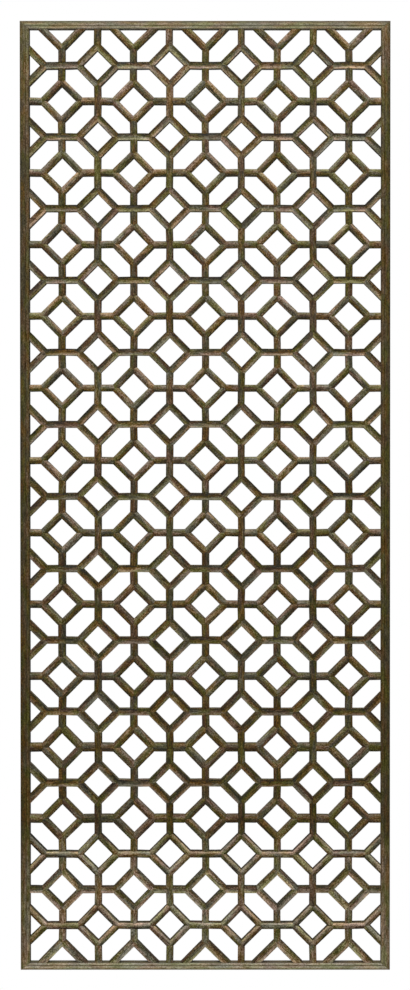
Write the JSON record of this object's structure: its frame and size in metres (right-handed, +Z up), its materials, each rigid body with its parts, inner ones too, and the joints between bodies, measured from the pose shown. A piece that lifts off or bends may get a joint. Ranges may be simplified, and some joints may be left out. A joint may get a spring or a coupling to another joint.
{
  "type": "lattice wall panel",
  "caption": "Tall open wooden lattice panel for a wall: a moulded frame filled with fretwork of squares set on their corners and small crosses, leaving long six-sided openings.",
  "frame": {"origin": "middle of the top rail's back face, where the panel is fixed to the wall", "axes": "+Z up along the panel's height, +Y out of the back into the wall, +X to the right seen from the front, so the front faces -Y"},
  "size_m": [0.749, 0.026, 1.922],
  "materials": {
    "lattice": "old elm, worn lacquer, olive brown with grey dust and rust-red patches",
    "rails": "old elm, worn lacquer, greyer where light and dust lie",
    "stiles": "old elm, worn lacquer, dark olive brown"
  },
  "bodies": {
    "root": {"top_rail": "rails", "bottom_rail": "rails", "left_stile": "stiles", "right_stile": "stiles", "lattice_row_01": "lattice", "lattice_row_02": "lattice", "lattice_row_03": "lattice", "lattice_row_04": "lattice", "lattice_row_05": "lattice", "lattice_row_06": "lattice", "lattice_row_07": "lattice", "lattice_row_08": "lattice", "lattice_row_09": "lattice", "lattice_row_10": "lattice", "lattice_row_11": "lattice", "lattice_row_12": "lattice", "lattice_row_13": "lattice", "lattice_row_14": "lattice", "lattice_row_15": "lattice", "lattice_row_16": "lattice", "lattice_row_17": "lattice", "lattice_row_18": "lattice", "lattice_row_19": "lattice", "lattice_row_20": "lattice", "lattice_row_21": "lattice", "lattice_row_22": "lattice", "lattice_row_23": "lattice", "lattice_row_24": "lattice", "lattice_row_25": "lattice", "top_half_square_1": "lattice", "top_half_square_2": "lattice", "top_half_square_3": "lattice", "top_half_square_4": "lattice", "top_half_square_5": "lattice", "bottom_half_square_1": "lattice", "bottom_half_square_2": "lattice", "bottom_half_square_3": "lattice", "bottom_half_square_4": "lattice", "bottom_half_square_5": "lattice", "top_stub_1": "lattice", "top_stub_2": "lattice", "top_stub_3": "lattice", "top_stub_4": "lattice", "bottom_stub_1": "lattice", "bottom_stub_2": "lattice", "bottom_stub_3": "lattice", "bottom_stub_4": "lattice"}
  },
  "joints": []
}
